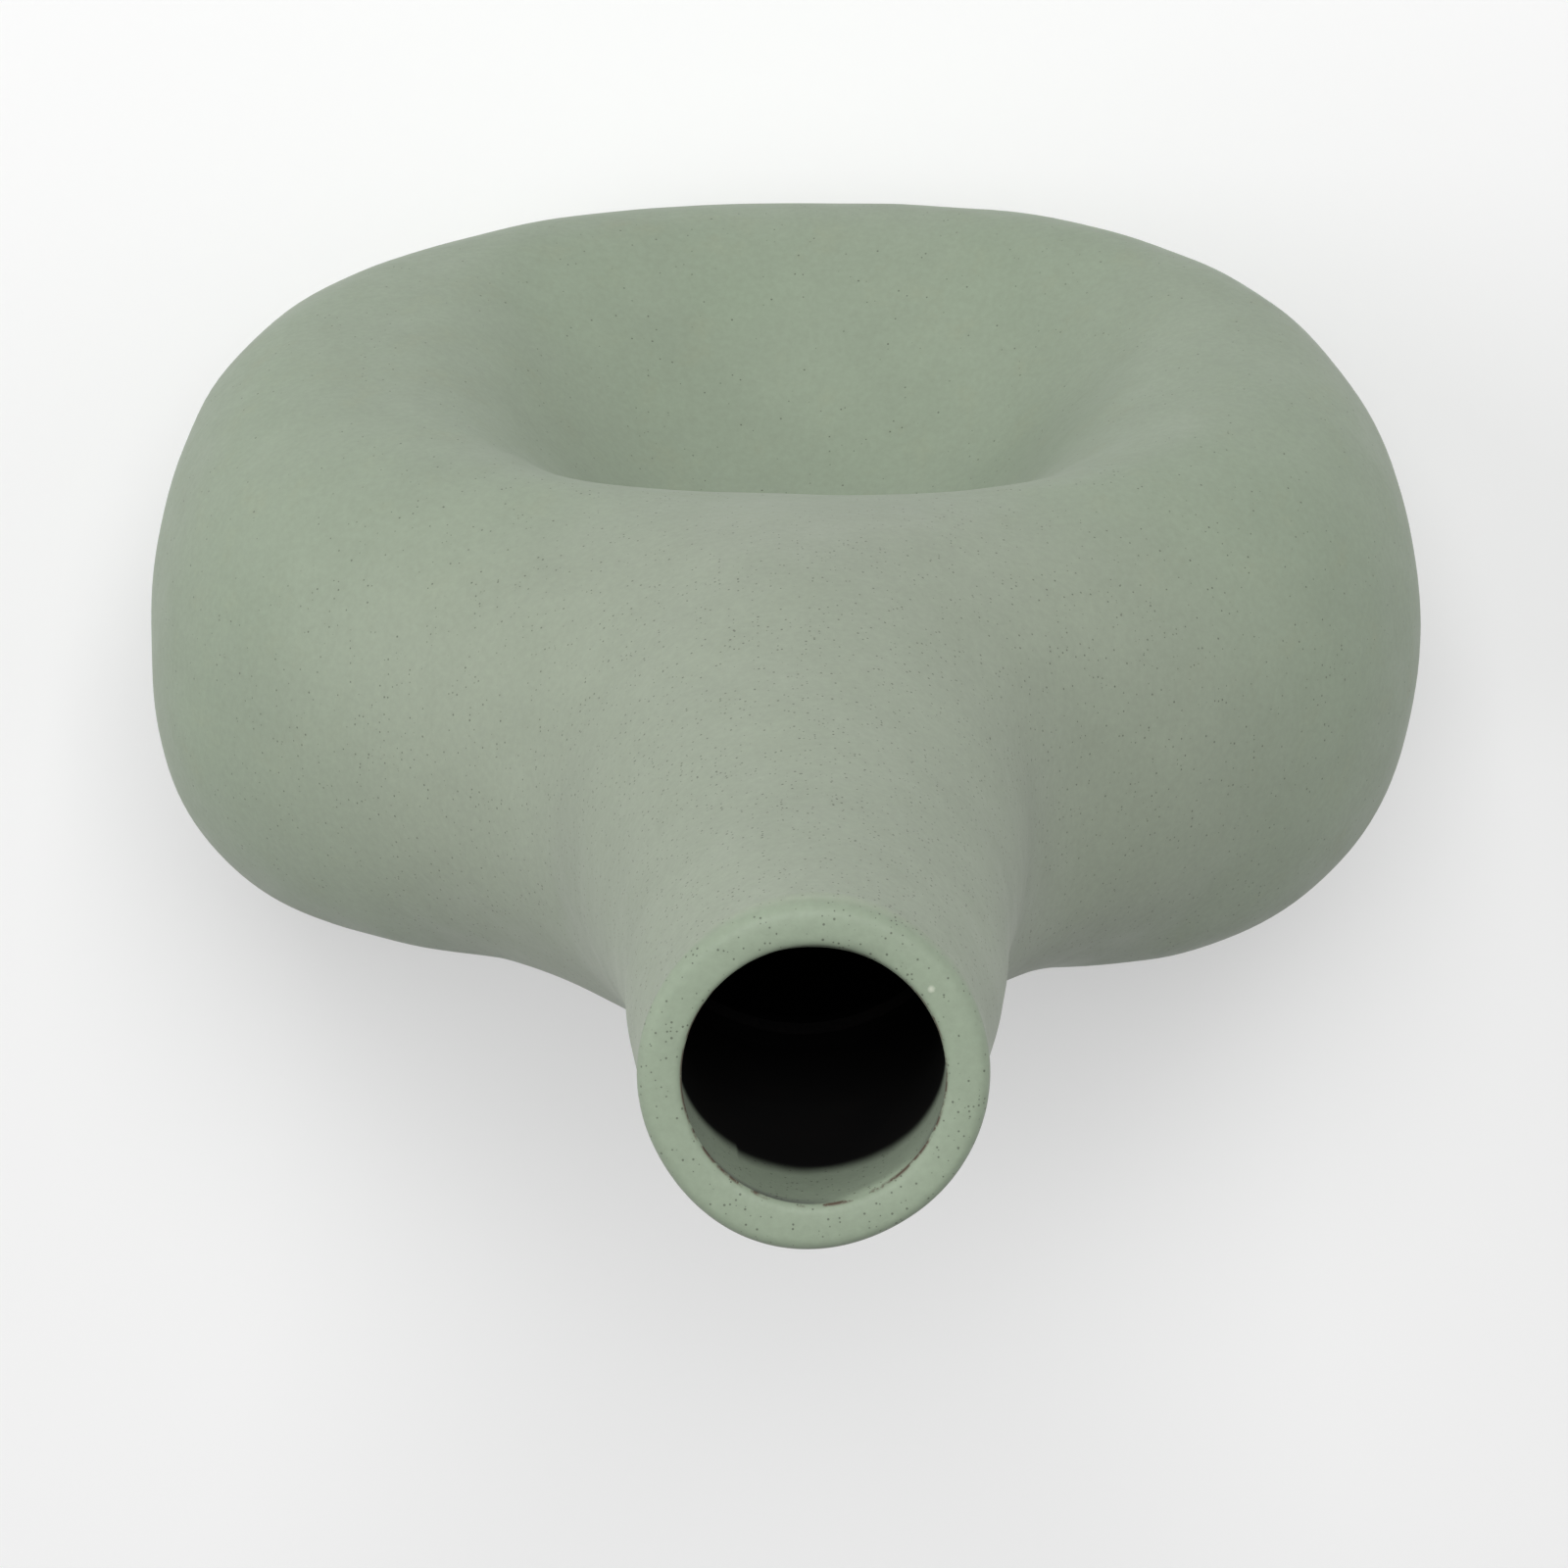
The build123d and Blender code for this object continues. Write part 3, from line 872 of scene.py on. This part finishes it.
class VASE_OT_neck(bpy.types.Operator):
    """Model the thrown neck with its lip, its bore and the spigot that drops into the shells"""

    bl_idname = "vase.neck"
    bl_label = "Neck"

    def execute(self, context):
        shape = settings().shape
        skin = part_of_skin(outer_skin(shape), slice(joint_row(), None), slice(None))
        spigot = shape.neck_root_diameter / 2 - shape.wall + shape.spigot_wall - shape.slip_gap
        hidden = [round_ring(spigot, SPIGOT_END), round_ring(spigot, NECK_JOINT)]
        piece = pressed_piece("neck_glazed", skin, hidden, closed=True)
        piece.data.materials.append(glazed_stoneware())
        hang_on_vase(piece, "neck")
        return {"FINISHED"}


class VASE_OT_coils(bpy.types.Operator):
    """Finish the coils of clay that are pressed over the joints inside"""

    bl_idname = "vase.coils"
    bl_label = "Coils"

    def execute(self, context):
        # The coils get clay painted nearly black as shade
        clay = raw_clay()
        for name in ("base_coil", "neck_coil", "seam_coil_left", "seam_coil_right"):
            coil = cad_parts[name]
            coil.data.materials.clear()
            coil.data.materials.append(clay)
        return {"FINISHED"}


class VASE_OT_stage(bpy.types.Operator):
    """Set the floor, the soft light and the camera"""

    bl_idname = "vase.stage"
    bl_label = "Stage"

    def execute(self, context):
        stage = settings().stage
        self.lay_floor(stage)
        self.light(context.scene, stage)
        self.aim_camera(context.scene, stage)
        context.scene.view_settings.view_transform = "Standard"
        return {"FINISHED"}

    def lay_floor(self, stage):
        bpy.ops.object.select_all(action="DESELECT")
        bpy.ops.mesh.primitive_plane_add(size=stage.floor_size)
        floor = bpy.context.object
        floor.name = "floor"
        material, tree = new_material("pale_floor")
        matt = add(tree, "BsdfDiffuse", {"Color": (*stage.floor, 1)})
        glow = add(tree, "Emission", {"Color": (*stage.floor, 1)})
        path = add(tree, "LightPath").outputs
        seen = calc(tree, "MAXIMUM", path["Is Camera Ray"], path["Is Glossy Ray"])
        seen = calc(tree, "MAXIMUM", seen, path["Is Transmission Ray"])
        part = calc(tree, "MULTIPLY", seen, stage.floor_glow)
        surface = add(tree, "MixShader", {0: part, 1: matt.outputs[0], 2: glow.outputs[0]})
        add(tree, "OutputMaterial", {"Surface": surface.outputs[0]})
        floor.data.materials.append(material)

    def light(self, scene, stage):
        self.hang_lamp("key_lamp", stage, stage.key_towards, stage.key_size, stage.key_power)
        self.hang_lamp("left_lamp", stage, stage.left_towards, stage.side_size, stage.left_power)
        self.hang_lamp("right_lamp", stage, stage.right_towards, stage.side_size, stage.right_power)
        world = bpy.data.worlds.new("even_light")
        world.use_nodes = True
        sky = world.node_tree.nodes["Background"].inputs
        sky["Color"].default_value = (1.0, 1.0, 1.0, 1.0)
        sky["Strength"].default_value = stage.fill
        scene.world = world

    def hang_lamp(self, name, stage, direction, size, power):
        towards = Vector(direction).normalized()
        middle = Vector((0.0, 0.0, 0.5 * CAD_HIGH.z))
        bpy.ops.object.light_add(type="AREA", location=middle + towards * stage.lamp_distance)
        lamp = bpy.context.object
        lamp.name = name
        lamp.rotation_euler = towards.to_track_quat("Z", "Y").to_euler()
        lamp.data.size = size
        lamp.data.energy = power

    def aim_camera(self, scene, stage):
        bpy.ops.object.camera_add(location=stage.camera_place, rotation=stage.camera_turn)
        camera = bpy.context.object
        camera.data.sensor_fit = "HORIZONTAL"
        camera.data.sensor_width = stage.camera_sensor
        camera.data.lens = stage.camera_lens
        scene.camera = camera


class VASE_PT_panel(bpy.types.Panel):
    """Steps and settings of the vase"""

    bl_idname = "VASE_PT_panel"
    bl_label = "Pillow vase"
    bl_space_type = "VIEW_3D"
    bl_region_type = "UI"
    bl_category = "Vase"

    def draw(self, context):
        for step in STEPS:
            self.layout.operator(step.bl_idname)
        for group in (settings().shape, settings().glaze, settings().stage):
            column = self.layout.column()
            for name in group.bl_rna.properties.keys():
                if name not in ("rna_type", "name"):
                    column.prop(group, name)


STEPS = (VASE_OT_base_slab, VASE_OT_half_shells, VASE_OT_neck, VASE_OT_coils, VASE_OT_stage)
CLASSES = (VaseShape, VaseGlaze, VaseStage, VaseSettings, *STEPS, VASE_PT_panel)


def register():
    for item in CLASSES:
        bpy.utils.register_class(item)
    bpy.types.Scene.pillow_vase = PointerProperty(type=VaseSettings)


def unregister():
    del bpy.types.Scene.pillow_vase
    for item in reversed(CLASSES):
        bpy.utils.unregister_class(item)


def main():
    register()
    bpy.ops.vase.base_slab()
    bpy.ops.vase.half_shells()
    bpy.ops.vase.neck()
    bpy.ops.vase.coils()
    bpy.ops.vase.stage()


if __name__ == "__main__":
    main()
